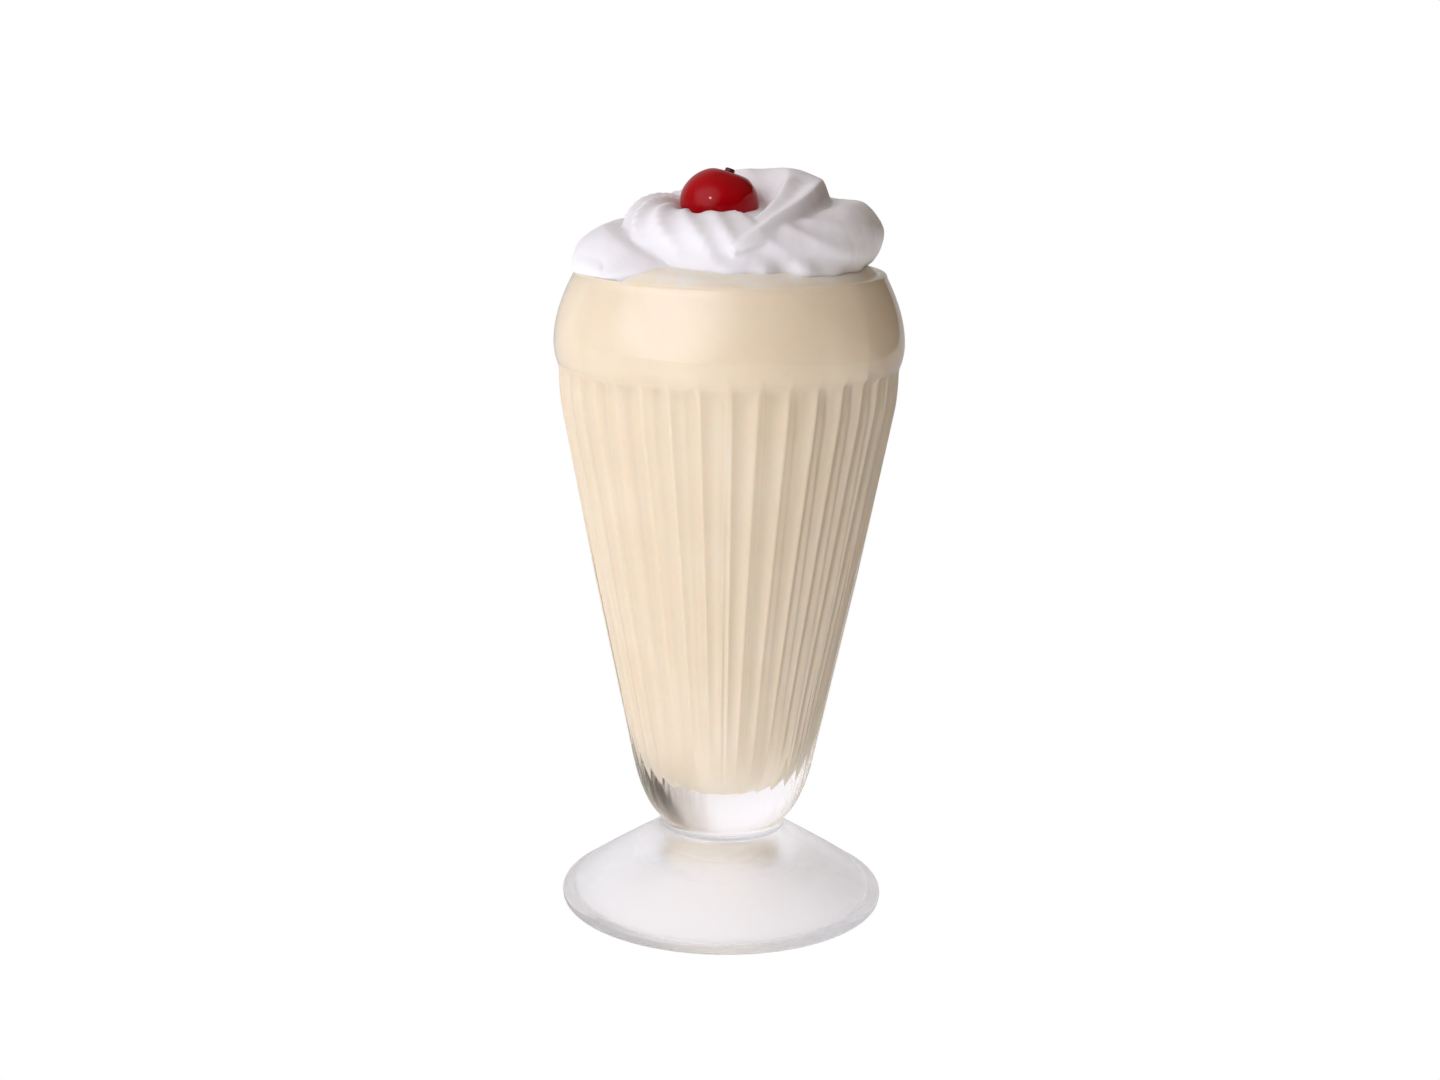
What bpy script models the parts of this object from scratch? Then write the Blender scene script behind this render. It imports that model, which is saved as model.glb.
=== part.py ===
"""Vanilla milkshake in a footed, fluted soda glass, topped with piped whipped cream and a cherry.

The glass stands on the origin with its axis on +Z. The viewer is on the -Y side, so +X is to their right.
"""

import math

import bmesh
import bpy
from mathutils import Euler, Vector
from mathutils.geometry import interpolate_bezier

MM = 0.001
GAP = 0.3 * MM  # clearance between pieces that touch
WELD = 0.001 * MM

# Glass, pressed in one piece: foot, waist, fluted bowl and a smooth band under the rim
GLASS_HEIGHT = 175.0 * MM
RIM_RADIUS = 41.4 * MM
RIM_ROUND = 1.3 * MM
BAND_RADIUS = 46.5 * MM
BAND_MIDDLE = 156.0 * MM
FLUTE_TOP = 151.0 * MM
FLUTE_TOP_RADIUS = 45.6 * MM
TAPER_BULGE = 0.4 * MM  # how far the bowl's long taper stands out of a straight line, half way down
TAPER_END = 46.0 * MM
TAPER_END_RADIUS = 25.8 * MM
WAIST_HEIGHT = 22.0 * MM
WAIST_RADIUS = 16.9 * MM
FOOT_RADIUS = 44.2 * MM
FOOT_EDGE = 2.3 * MM
FOOT_SHOULDER = 4.6 * MM
FOOT_SHOULDER_RADIUS = 42.4 * MM
FOOT_RING = 39.0 * MM  # inner radius of the flat ring that the glass stands on
KICK_HEIGHT = 14.0 * MM  # hollow under the foot
FLUTES = 34
STEPS_PER_FLUTE = 3
FLUTE_DEPTH = 0.03  # of the local radius
FLUTE_RUN_IN = 2.0 * MM  # height over which a flute reaches its depth at its arched top
FLUTE_RUN_OUT = 5.0 * MM
FLUTE_END = 25.0 * MM
WALL = 3.9 * MM
RIM_WALL = 3.0 * MM
WELL_BOTTOM = 35.0 * MM
WELL_CORNER = 52.0 * MM
WELL_CORNER_RADIUS = 22.3 * MM
INNER_STEPS = 48

# Milkshake: fills the well and stands in a low mound above the rim
SHAKE_EDGE = 174.0 * MM
SHAKE_CROWN = 180.4 * MM

# Whipped cream: one rope from a star nozzle, laid clockwise from above, outside in and upwards. Each
# station is the angle from +X, the distance from the axis, the height, the rope's radius and its turn
# about its own run.
ROPE_STATIONS = (
    (245, 28.0 * MM, 175.6 * MM, 2.6 * MM, 0),
    (225, 29.4 * MM, 175.8 * MM, 6.8 * MM, 0),
    (203, 30.2 * MM, 175.9 * MM, 10.4 * MM, 10),
    (180, 30.6 * MM, 175.9 * MM, 11.4 * MM, 25),
    (140, 28.8 * MM, 177.4 * MM, 10.4 * MM, 65),
    (90, 29.6 * MM, 181.0 * MM, 10.2 * MM, 110),
    (20, 30.8 * MM, 184.4 * MM, 9.2 * MM, 170),
    (-18, 30.4 * MM, 184.2 * MM, 9.4 * MM, 210),
    (-52, 25.6 * MM, 181.0 * MM, 9.4 * MM, 290),
    (-90, 20.8 * MM, 181.2 * MM, 10.8 * MM, 400),
    (-135, 20.4 * MM, 182.4 * MM, 10.8 * MM, 530),
    (-180, 19.0 * MM, 184.4 * MM, 10.2 * MM, 640),
    (-225, 18.2 * MM, 185.4 * MM, 9.6 * MM, 740),
    (-270, 17.8 * MM, 189.8 * MM, 9.8 * MM, 850),
    (-315, 17.8 * MM, 191.3 * MM, 9.8 * MM, 925),
    (-350, 18.2 * MM, 191.2 * MM, 9.7 * MM, 950),
    (-380, 18.9 * MM, 191.2 * MM, 8.9 * MM, 955),
    (-420, 23.5 * MM, 187.8 * MM, 6.2 * MM, 955),
    (-440, 29.0 * MM, 185.2 * MM, 3.4 * MM, 955),
    (-450, 31.5 * MM, 183.4 * MM, 1.6 * MM, 955),
)
STAR_POINTS = 6
STAR_GROOVE = 0.13  # of the rope's radius
STEPS_BETWEEN_STATIONS = 5
CORE_RADIUS = 21.0 * MM
CORE_MIDDLE = 178.0 * MM
CORE_HALF_HEIGHT = 12.0 * MM

# Cherry: slightly flattened, with a dimple that holds a stub of its stalk
CHERRY_CENTRE = Vector((-3.2, -2.2, 192.6)) * MM
CHERRY_RADII = Vector((10.4, 10.1, 9.3)) * MM
CHERRY_LEAN = Euler((0, math.radians(3), 0))
STALK_LEAN = Euler((math.radians(-7), math.radians(15), 0))  # where the dimple and the stalk sit
DIMPLE_DEPTH = 0.16  # of the cherry's height
DIMPLE_WIDTH = 0.3  # radians from its middle
STUB_RADIUS = 1.45 * MM
STUB_LENGTH = 2.6 * MM


def clear_scene():
    for obj in list(bpy.data.objects):
        bpy.data.objects.remove(obj)


def new_collection(name):
    made = bpy.data.collections.new(name)
    bpy.context.scene.collection.children.link(made)
    return made


def add_object(name, data, collection):
    obj = bpy.data.objects.new(name, data)
    collection.objects.link(obj)
    return obj


def material(name, colour, roughness, transmission=0.0):
    made = bpy.data.materials.new(name)
    made.use_nodes = True
    shader = made.node_tree.nodes["Principled BSDF"]
    shader.inputs["Base Color"].default_value = (*colour, 1.0)
    shader.inputs["Roughness"].default_value = roughness
    shader.inputs["Metallic"].default_value = 0.0
    shader.inputs["Transmission Weight"].default_value = transmission
    return made


def curve_points(start, pull_out, pull_in, end, count):
    """count points along a Bezier stretch of an outline, its start left out."""
    knots = [Vector((r, 0, z)) for r, z in (start, pull_out, pull_in, end)]
    return [(p.x, p.z) for p in interpolate_bezier(*knots, count + 1)[1:]]


def baked(obj, collection):
    """The object's evaluated mesh as a new object of the same name, which takes its place."""
    graph = bpy.context.evaluated_depsgraph_get()
    mesh = bpy.data.meshes.new_from_object(obj.evaluated_get(graph))
    name, place = obj.name, obj.matrix_world.copy()
    bpy.data.objects.remove(obj)
    made = add_object(name, mesh, collection)
    mesh.name = name
    made.matrix_world = place
    return made


def tidy(obj):
    """Welds doubles and turns every face outwards."""
    bm = bmesh.new()
    bm.from_mesh(obj.data)
    bmesh.ops.remove_doubles(bm, verts=bm.verts, dist=WELD)
    bmesh.ops.recalc_face_normals(bm, faces=bm.faces)
    bm.to_mesh(obj.data)
    bm.free()
    return obj


def turned(name, outline, steps, collection):
    """A solid of revolution from an outline of (radius, height), from the top down its outer side."""
    mesh = bpy.data.meshes.new(name)
    edges = [(i, i + 1) for i in range(len(outline) - 1)]
    mesh.from_pydata([(r, 0, z) for r, z in outline], edges, [])
    obj = add_object(name, mesh, collection)
    screw = obj.modifiers.new("Turn", "SCREW")
    screw.steps = screw.render_steps = steps
    screw.use_merge_vertices = True
    screw.merge_threshold = WELD
    return tidy(baked(obj, collection))


def boolean(obj, other, operation, collection, use_self=False):
    """Joins or cuts obj with other, and removes other."""
    modifier = obj.modifiers.new(operation.title(), "BOOLEAN")
    modifier.operation = operation
    modifier.object = other
    modifier.solver = "EXACT"
    modifier.use_self = use_self
    bpy.context.view_layer.update()
    made = baked(obj, collection)
    bpy.data.objects.remove(other)
    return tidy(made)


def keep_outer_shell(obj):
    """Fills any hollow that joining sealed and drops loose scraps, by keeping the widest shell only."""
    bm = bmesh.new()
    bm.from_mesh(obj.data)
    unseen, shells = set(bm.faces), []
    while unseen:
        stack, shell = [unseen.pop()], []
        while stack:
            face = stack.pop()
            shell.append(face)
            for edge in face.edges:
                for near in edge.link_faces:
                    if near in unseen:
                        unseen.remove(near)
                        stack.append(near)
        shells.append(shell)
    widest = max(shells, key=lambda shell: sum(face.calc_area() for face in shell))
    scraps = [face for shell in shells if shell is not widest for face in shell]
    bmesh.ops.delete(bm, geom=scraps, context="FACES")
    bm.to_mesh(obj.data)
    bm.free()
    return obj


def triangulated(obj):
    """Splits what the cuts left into triangles, many-sided and bent faces too."""
    bm = bmesh.new()
    bm.from_mesh(obj.data)
    bmesh.ops.triangulate(bm, faces=bm.faces)
    bm.to_mesh(obj.data)
    bm.free()
    return obj


def smooth_step(low, high, value):
    t = min(max((value - low) / (high - low), 0.0), 1.0)
    return t * t * (3 - 2 * t)


def cut_flutes(obj):
    """Presses the flutes into the bowl's outer wall: shallow hollows that meet in sharp ridges."""
    for vertex in obj.data.vertices:
        point = vertex.co
        radius = math.hypot(point.x, point.y)
        if radius < WAIST_RADIUS or not FLUTE_END < point.z < FLUTE_TOP:
            continue
        share = (math.atan2(point.y, point.x) / math.tau * FLUTES) % 1.0
        hollow = 1 - (2 * share - 1) ** 2
        fade = 1 - (1 - min((FLUTE_TOP - point.z) / FLUTE_RUN_IN, 1)) ** 2
        fade *= smooth_step(FLUTE_END, FLUTE_END + FLUTE_RUN_OUT, point.z)
        shrink = 1 - FLUTE_DEPTH * hollow * fade
        point.x *= shrink
        point.y *= shrink


def glass_outline():
    """The glass's outer side, from the middle of its mouth down to the hollow under the foot."""
    top = GLASS_HEIGHT
    lip = (RIM_RADIUS, top - RIM_ROUND)
    widest = (BAND_RADIUS, BAND_MIDDLE)
    flute_top = (FLUTE_TOP_RADIUS, FLUTE_TOP)
    taper_end = (TAPER_END_RADIUS, TAPER_END)
    waist = (WAIST_RADIUS, WAIST_HEIGHT)
    points = [(0, top), (RIM_RADIUS - RIM_ROUND, top)]
    soft = 0.4 * RIM_ROUND
    points += curve_points(points[-1], (RIM_RADIUS - soft, top), (RIM_RADIUS, top - soft), lip, 2)
    points += curve_points(lip, (RIM_RADIUS + 3 * MM, 168 * MM), (BAND_RADIUS, 162 * MM), widest, 4)
    points += curve_points(widest, (BAND_RADIUS, 154.6 * MM), (46.1 * MM, 152.2 * MM), flute_top, 2)
    points += [(45.35 * MM, FLUTE_TOP - 0.35 * FLUTE_RUN_IN), (45.15 * MM, FLUTE_TOP - FLUTE_RUN_IN)]
    shoulder = (44.3 * MM, 138.5 * MM)
    points += curve_points(points[-1], (45.1 * MM, 145 * MM), (44.8 * MM, 141 * MM), shoulder, 2)
    middle = (0.5 * (shoulder[0] + TAPER_END_RADIUS) + TAPER_BULGE, 0.5 * (shoulder[1] + TAPER_END))
    points += [middle, taper_end]
    bowl_foot = (19.6 * MM, 27.2 * MM)
    points += curve_points(taper_end, (24.0 * MM, 36.5 * MM), (22.6 * MM, 31.5 * MM), bowl_foot, 3)
    points += curve_points(bowl_foot, (18.0 * MM, 25.0 * MM), (WAIST_RADIUS, 24.2 * MM), waist, 2)
    shoulder = (FOOT_SHOULDER_RADIUS, FOOT_SHOULDER)
    points += curve_points(waist, (WAIST_RADIUS, 20.4 * MM), (24.0 * MM, 17.4 * MM), shoulder, 4)
    edge = (FOOT_RADIUS, FOOT_EDGE)
    points += curve_points(shoulder, (43.4 * MM, 4.1 * MM), (FOOT_RADIUS, 3.3 * MM), edge, 2)
    points += curve_points(edge, (FOOT_RADIUS, 0.9 * MM), (43.4 * MM, 0), (42.4 * MM, 0), 2)
    points += [(FOOT_RING, 0)]
    points += curve_points(points[-1], (35.0 * MM, 0.4 * MM), (20.0 * MM, KICK_HEIGHT), (0, KICK_HEIGHT), 3)
    return points


def well_outline(inset=0.0):
    """The inside of the bowl from just under the rim down to its bottom, moved in by inset."""
    neck = (RIM_RADIUS - RIM_WALL - inset, GLASS_HEIGHT - RIM_ROUND)
    belly = (BAND_RADIUS - WALL - inset, BAND_MIDDLE)
    corner = (WELL_CORNER_RADIUS - inset, WELL_CORNER)
    bottom = (0, WELL_BOTTOM + inset)
    points = [neck]
    points += curve_points(neck, (neck[0] + 2.6 * MM, 168 * MM), (belly[0], 162 * MM), belly, 3)
    shoulder = (39.6 * MM - inset, 134 * MM)
    points += curve_points(belly, (belly[0], 150 * MM), (belly[0] - 1.2 * MM, 143 * MM), shoulder, 3)
    points += [corner]
    points += curve_points(corner, (20.4 * MM - inset, 42 * MM), (14 * MM, bottom[1]), bottom, 5)
    return points


def build_glass(collection):
    glass = turned("glass", glass_outline(), FLUTES * STEPS_PER_FLUTE, collection)
    cut_flutes(glass)
    mouth = RIM_RADIUS - RIM_WALL + 0.8 * RIM_ROUND
    above = GLASS_HEIGHT + 5 * MM
    outline = [(0, above), (mouth, above), (mouth, GLASS_HEIGHT - 0.1 * MM)] + well_outline()
    well = turned("well_cutter", outline, INNER_STEPS, collection)
    glass = boolean(glass, well, "DIFFERENCE", collection)
    glass.data.materials.append(material("clear_glass", (0.93, 0.96, 0.95), 0.03, transmission=1.0))
    return glass


def shake_crown(lift):
    """The top of the milkshake from its crown out to the wall, raised by lift."""
    crown = (0, SHAKE_CROWN + lift)
    wall = (RIM_RADIUS - RIM_WALL - GAP, SHAKE_EDGE + lift)
    return [crown] + curve_points(crown, (20 * MM, crown[1]), (35 * MM, crown[1]), wall, 8)


def build_shake(collection):
    outline = shake_crown(0.0) + well_outline(inset=GAP)
    shake = turned("milkshake", outline, INNER_STEPS, collection)
    shake.data.materials.append(material("vanilla_shake", (0.86, 0.76, 0.6), 0.45))
    return shake


def through_stations(stations, steps):
    """Smooth Catmull-Rom samples through the stations, which are rows of numbers."""
    rows = [stations[0], *stations, stations[-1]]
    samples = []
    for before, first, second, after in zip(rows, rows[1:], rows[2:], rows[3:]):
        for step in range(steps):
            t = step / steps
            samples.append([
                0.5 * (2 * b + (c - a) * t
                       + (2 * a - 5 * b + 4 * c - d) * t**2
                       + (3 * b - a - 3 * c + d) * t**3)
                for a, b, c, d in zip(before, first, second, after)
            ])
    samples.append(list(stations[-1]))
    return samples


def star_outline(collection):
    """The nozzle's star, of unit radius, as a closed curve that the rope is swept from."""
    curve = bpy.data.curves.new("star", "CURVE")
    spline = curve.splines.new("POLY")
    spline.points.add(2 * STAR_POINTS - 1)
    for i, point in enumerate(spline.points):
        angle = math.tau * i / (2 * STAR_POINTS)
        radius = 1 - STAR_GROOVE * (i % 2)
        point.co = (radius * math.cos(angle), radius * math.sin(angle), 0, 1)
    spline.use_cyclic_u = True
    star = add_object("star", curve, collection)
    star.hide_render = True
    return star


def build_rope(collection):
    """The piped rope, which thins out to a tail at both ends."""
    star = star_outline(collection)
    curve = bpy.data.curves.new("rope", "CURVE")
    curve.dimensions = "3D"
    curve.twist_mode = "Z_UP"
    curve.bevel_mode = "OBJECT"
    curve.bevel_object = star
    curve.use_fill_caps = True
    samples = through_stations(ROPE_STATIONS, STEPS_BETWEEN_STATIONS)
    spline = curve.splines.new("POLY")
    spline.points.add(len(samples) - 1)
    for point, (degrees, distance, height, thickness, turn) in zip(spline.points, samples):
        angle = math.radians(degrees)
        uneven = 1 + 0.02 * math.sin(3.1 * angle) + 0.02 * math.sin(7.3 * angle + 1.0)
        point.co = (distance * math.cos(angle), distance * math.sin(angle), height, 1)
        point.radius = thickness * uneven
        point.tilt = math.radians(turn)
    rope = tidy(baked(add_object("rope", curve, collection), collection))
    bpy.data.objects.remove(star)
    return rope


def bed_cutter(collection):
    """What lies under the cream, with the gap: the milkshake's mound and the glass's rim."""
    crown = shake_crown(GAP)
    rim_top = GLASS_HEIGHT + GAP
    inner = RIM_RADIUS - RIM_WALL - GAP
    outer = BAND_RADIUS + 4 * MM
    below = GLASS_HEIGHT - 30 * MM
    step = [(inner, crown[-1][1]), (inner + 0.2 * MM, rim_top), (outer, rim_top)]
    outline = crown[:-1] + step + [(outer, below), (0, below)]
    return turned("bed_cutter", outline, INNER_STEPS, collection)


def build_cream(collection):
    bpy.ops.mesh.primitive_uv_sphere_add(segments=24, ring_count=12, radius=1, location=(0, 0, 0))
    core = bpy.context.object
    core.name = "whipped_cream"
    for owner in core.users_collection:
        owner.objects.unlink(core)
    collection.objects.link(core)
    for vertex in core.data.vertices:
        vertex.co.x *= CORE_RADIUS
        vertex.co.y *= CORE_RADIUS
        vertex.co.z = CORE_MIDDLE + CORE_HALF_HEIGHT * vertex.co.z
    cream = keep_outer_shell(boolean(core, build_rope(collection), "UNION", collection, use_self=True))
    nest = cherry_body("nest_cutter", GAP, collection)
    cutter = boolean(bed_cutter(collection), nest, "UNION", collection)
    cream = triangulated(keep_outer_shell(boolean(cream, cutter, "DIFFERENCE", collection)))
    cream.data.materials.append(material("whipped_cream", (0.93, 0.92, 0.92), 0.5))
    return cream


def cherry_body(name, grow, collection):
    """The cherry's body without its stub, grown all round by grow."""
    stalk = STALK_LEAN.to_matrix() @ Vector((0, 0, 1))
    bm = bmesh.new()
    bmesh.ops.create_uvsphere(bm, u_segments=24, v_segments=14, radius=1)
    for vertex in bm.verts:
        direction = vertex.co.normalized()
        around = math.atan2(direction.y, direction.x)
        from_pole = math.acos(min(max(direction.z, -1.0), 1.0))
        dimple = DIMPLE_DEPTH * math.exp(-((direction.angle(stalk) / DIMPLE_WIDTH) ** 2))
        crease = 0.02 * math.sin(around + 2.6) * math.sin(from_pole)
        size = 1 - dimple + crease
        vertex.co = Vector([d * (r * size + grow) for d, r in zip(direction, CHERRY_RADII)])
    bm.normal_update()
    mesh = bpy.data.meshes.new(name)
    bm.to_mesh(mesh)
    bm.free()
    body = add_object(name, mesh, collection)
    body.location = CHERRY_CENTRE
    body.rotation_euler = CHERRY_LEAN
    bpy.context.view_layer.update()
    return tidy(baked(body, collection))


def build_cherry(collection):
    cherry = cherry_body("cherry", 0.0, collection)
    bm = bmesh.new()
    bmesh.ops.create_cone(
        bm, cap_ends=True, segments=10, radius1=STUB_RADIUS, radius2=0.85 * STUB_RADIUS, depth=STUB_LENGTH
    )
    mesh = bpy.data.meshes.new("stub")
    bm.to_mesh(mesh)
    bm.free()
    stub = add_object("stub", mesh, collection)
    leaning = CHERRY_LEAN.to_matrix() @ STALK_LEAN.to_matrix()
    dimple_floor = CHERRY_RADII.z * (1 - DIMPLE_DEPTH)
    stub.location = CHERRY_CENTRE + leaning @ Vector((0, 0, dimple_floor + 0.15 * STUB_LENGTH))
    stub.rotation_euler = leaning.to_euler()
    bpy.context.view_layer.update()
    cherry = boolean(cherry, stub, "UNION", collection)
    cherry.data.materials.append(material("cherry", (0.45, 0.005, 0.01), 0.12))
    return cherry


def main():
    clear_scene()
    milkshake = new_collection("vanilla_milkshake")
    for build in (build_glass, build_shake, build_cream, build_cherry):
        piece = build(milkshake)
        piece.data.shade_smooth()
        piece.data.set_sharp_from_angle(angle=math.radians(35))


main()
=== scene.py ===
import math

import bmesh
import bpy
from mathutils import Euler, Matrix, Vector, noise
from mathutils.geometry import interpolate_bezier


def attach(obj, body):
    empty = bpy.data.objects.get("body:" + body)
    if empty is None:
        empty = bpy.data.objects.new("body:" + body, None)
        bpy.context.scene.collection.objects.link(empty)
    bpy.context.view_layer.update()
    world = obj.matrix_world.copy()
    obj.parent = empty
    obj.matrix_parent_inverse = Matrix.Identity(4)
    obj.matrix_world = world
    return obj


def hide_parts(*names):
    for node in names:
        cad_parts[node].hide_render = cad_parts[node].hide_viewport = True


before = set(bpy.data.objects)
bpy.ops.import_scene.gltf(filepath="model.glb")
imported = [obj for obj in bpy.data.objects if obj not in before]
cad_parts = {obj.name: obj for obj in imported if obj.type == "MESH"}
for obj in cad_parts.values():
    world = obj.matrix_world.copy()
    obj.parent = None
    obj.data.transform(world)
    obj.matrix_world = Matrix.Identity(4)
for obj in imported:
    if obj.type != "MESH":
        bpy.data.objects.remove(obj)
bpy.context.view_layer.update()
MM = 0.001
scene = bpy.context.scene


# Studio
# A white paper sweep for the floor and what is behind it. One broad soft light stands to the front left,
# and the paper glows from behind on that side, so that the right of the glass falls into warm shade.
CAMERA_PLACE = Vector((-0.0017, -0.6169, 0.2464))
CAMERA_PITCH = math.radians(13.179)  # below level
CAMERA_ROLL = math.radians(0.8)
CAMERA_SENSOR = 36.0  # millimetres, as the lens is
CAMERA_LENS = 58.555
SWEEP_LEFT = -3.0
SWEEP_RIGHT = 0.9  # just out of view, so that less light comes from that side
SWEEP_FRONT = -2.0
SWEEP_BACK = 1.1
SWEEP_BEND = 0.8  # radius of its curve up to the wall
SWEEP_BEND_STEPS = 16
SWEEP_TOP = 2.6
SWEEP_COLOUR = (0.6, 0.6, 0.6, 1)
SWEEP_ROUGHNESS = 0.9
UNLIT = (0, 0, 0, 1)  # where only its glow is to show
GLOW_SEEN = (1, 1, 1, 1)  # where the camera sees it, it is plain white
GLOW_LEFT = (0.92, 0.98, 1.08, 1)  # and as light on the drink, from the left
GLOW_RIGHT = (0.33, 0.19, 0.02, 1)
GLOW_LEFT_THROUGH = (0.44, 0.42, 0.42, 1)  # and where it is seen through glass
GLOW_RIGHT_THROUGH = (0.16, 0.11, 0.06, 1)
GLOW_REFLECTED = (0.44, 0.43, 0.44, 1)  # and where glass mirrors it
GLOW_SPAN = (0.05, 0.55)  # metres across, from the left's glow to the right's
STUDIO_DIM = 0.02  # how bright the studio is where no light faces
STUDIO_DIM_SEEN = 0.05  # and how bright it looks there in the glass
STUDIO_WARM = (1.0, 0.72, 0.45, 1)
STUDIO_WHITE = (0.985, 0.965, 1.03, 1)
STUDIO_GLOWS = (
    # towards, cosine where it starts, cosine where it is full, brightness
    ((-0.60, -0.68, 0.42), 0.68, 0.99, 2.06),
    ((-1.00, 0.00, 0.10), -0.10, 1.00, 0.30),
    ((0.00, 0.00, 1.00), 0.15, 1.00, 0.29),
)
SPARK_PLACE = Vector((-0.284, -0.579, 0.496))  # a small lamp for the glint on the cherry
SPARK_TARGET = Vector((0, 0, 0.19))
SPARK_SIZE = 0.09
SPARK_POWER = 0.8

camera_data = bpy.data.cameras.new("camera")
camera_data.sensor_width = CAMERA_SENSOR
camera_data.lens = CAMERA_LENS
camera = bpy.data.objects.new("camera", camera_data)
scene.collection.objects.link(camera)
camera.matrix_world = (
    Matrix.Translation(CAMERA_PLACE)
    @ Matrix.Rotation(math.radians(90) - CAMERA_PITCH, 4, "X")
    @ Matrix.Rotation(CAMERA_ROLL, 4, "Z")
)
scene.camera = camera
scene.view_settings.view_transform = "Standard"


def brighter_of(nodes, links, first, second):
    """The greater of two nodes' values."""
    greater = nodes.new("ShaderNodeMath")
    greater.operation = "MAXIMUM"
    links.new(first, greater.inputs[0])
    links.new(second, greater.inputs[1])
    return greater.outputs["Value"]


def mix_colours(nodes, links, mask, low, high):
    """Mixes two colours by a mask. Each is given as numbers or as a node's output."""
    mix = nodes.new("ShaderNodeMix")
    mix.data_type = "RGBA"
    links.new(mask, mix.inputs["Factor"])
    for socket, given in ((mix.inputs["A"], low), (mix.inputs["B"], high)):
        if isinstance(given, tuple):
            socket.default_value = given
        else:
            links.new(given, socket)
    return mix.outputs["Result"]


world = bpy.data.worlds.new("studio")
world.use_nodes = True
scene.world = world
nodes, links = world.node_tree.nodes, world.node_tree.links
around = nodes.new("ShaderNodeTexCoord")
total = None
for towards, start, full, brightness in STUDIO_GLOWS:
    facing = nodes.new("ShaderNodeVectorMath")
    facing.operation = "DOT_PRODUCT"
    facing.inputs[1].default_value = Vector(towards).normalized()
    links.new(around.outputs["Generated"], facing.inputs[0])
    soft = nodes.new("ShaderNodeMapRange")
    soft.interpolation_type = "SMOOTHSTEP"
    soft.inputs["From Min"].default_value = start
    soft.inputs["From Max"].default_value = full
    soft.inputs["To Max"].default_value = brightness
    links.new(facing.outputs["Value"], soft.inputs["Value"])
    added = nodes.new("ShaderNodeMath")
    added.inputs[0].default_value = STUDIO_DIM
    if total:
        links.new(total, added.inputs[0])
    links.new(soft.outputs["Result"], added.inputs[1])
    total = added.outputs["Value"]
seen = nodes.new("ShaderNodeLightPath")
bright = brighter_of(nodes, links, total, seen.outputs["Is Camera Ray"])
tint = mix_colours(nodes, links, bright, STUDIO_WARM, STUDIO_WHITE)
links.new(tint, nodes["Background"].inputs["Color"])
lift = nodes.new("ShaderNodeMix")
lift.inputs["A"].default_value = STUDIO_DIM_SEEN
lift.inputs["B"].default_value = 0.0
links.new(seen.outputs["Is Diffuse Ray"], lift.inputs["Factor"])
strength = brighter_of(nodes, links, total, lift.outputs["Result"])
strength = brighter_of(nodes, links, strength, seen.outputs["Is Camera Ray"])
links.new(strength, nodes["Background"].inputs["Strength"])

spark_data = bpy.data.lights.new("spark", "AREA")
spark_data.size = SPARK_SIZE
spark_data.energy = SPARK_POWER
spark = bpy.data.objects.new("spark", spark_data)
scene.collection.objects.link(spark)
spark.location = SPARK_PLACE
spark.rotation_euler = (SPARK_PLACE - SPARK_TARGET).to_track_quat("Z", "Y").to_euler()


def new_piece(name, form):
    """An object at the origin that holds the finished bmesh, shaded smooth."""
    mesh = bpy.data.meshes.new(name)
    form.to_mesh(mesh)
    form.free()
    mesh.shade_smooth()
    made = bpy.data.objects.new(name, mesh)
    scene.collection.objects.link(made)
    return made


def new_finish(name, colour, roughness):
    """A material with its Principled BSDF, nodes and links, for the section to add to."""
    made = bpy.data.materials.new(name)
    made.use_nodes = True
    nodes, links = made.node_tree.nodes, made.node_tree.links
    shader = nodes["Principled BSDF"]
    shader.inputs["Base Color"].default_value = colour
    shader.inputs["Roughness"].default_value = roughness
    return made, nodes, links, shader


sweep_form = bmesh.new()
bmesh.ops.create_grid(sweep_form, x_segments=1, y_segments=1, size=1)
for vertex in sweep_form.verts:
    vertex.co.x = SWEEP_LEFT if vertex.co.x < 0 else SWEEP_RIGHT
    vertex.co.y = SWEEP_FRONT if vertex.co.y < 0 else SWEEP_BACK
back_edge = [edge for edge in sweep_form.edges if all(v.co.y > 0 for v in edge.verts)]
bend = bmesh.ops.spin(
    sweep_form,
    geom=back_edge,
    cent=(0, SWEEP_BACK, SWEEP_BEND),
    axis=(1, 0, 0),
    angle=math.radians(90),
    steps=SWEEP_BEND_STEPS,
)
top_edge = [item for item in bend["geom_last"] if isinstance(item, bmesh.types.BMEdge)]
wall = bmesh.ops.extrude_edge_only(sweep_form, edges=top_edge)
for item in wall["geom"]:
    if isinstance(item, bmesh.types.BMVert):
        item.co.z = SWEEP_TOP
bmesh.ops.recalc_face_normals(sweep_form, faces=sweep_form.faces)
floor = new_piece("floor", sweep_form)
paper, nodes, links, shader = new_finish("white_paper", SWEEP_COLOUR, SWEEP_ROUGHNESS)
place = nodes.new("ShaderNodeTexCoord")
across = nodes.new("ShaderNodeSeparateXYZ")
side = nodes.new("ShaderNodeMapRange")
side.interpolation_type = "SMOOTHSTEP"
side.inputs["From Min"].default_value, side.inputs["From Max"].default_value = GLOW_SPAN
links.new(place.outputs["Object"], across.inputs["Vector"])
links.new(across.outputs["X"], side.inputs["Value"])
seen = nodes.new("ShaderNodeLightPath")
on_drink = mix_colours(nodes, links, side.outputs["Result"], GLOW_LEFT, GLOW_RIGHT)
through = mix_colours(nodes, links, side.outputs["Result"], GLOW_LEFT_THROUGH, GLOW_RIGHT_THROUGH)
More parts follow.
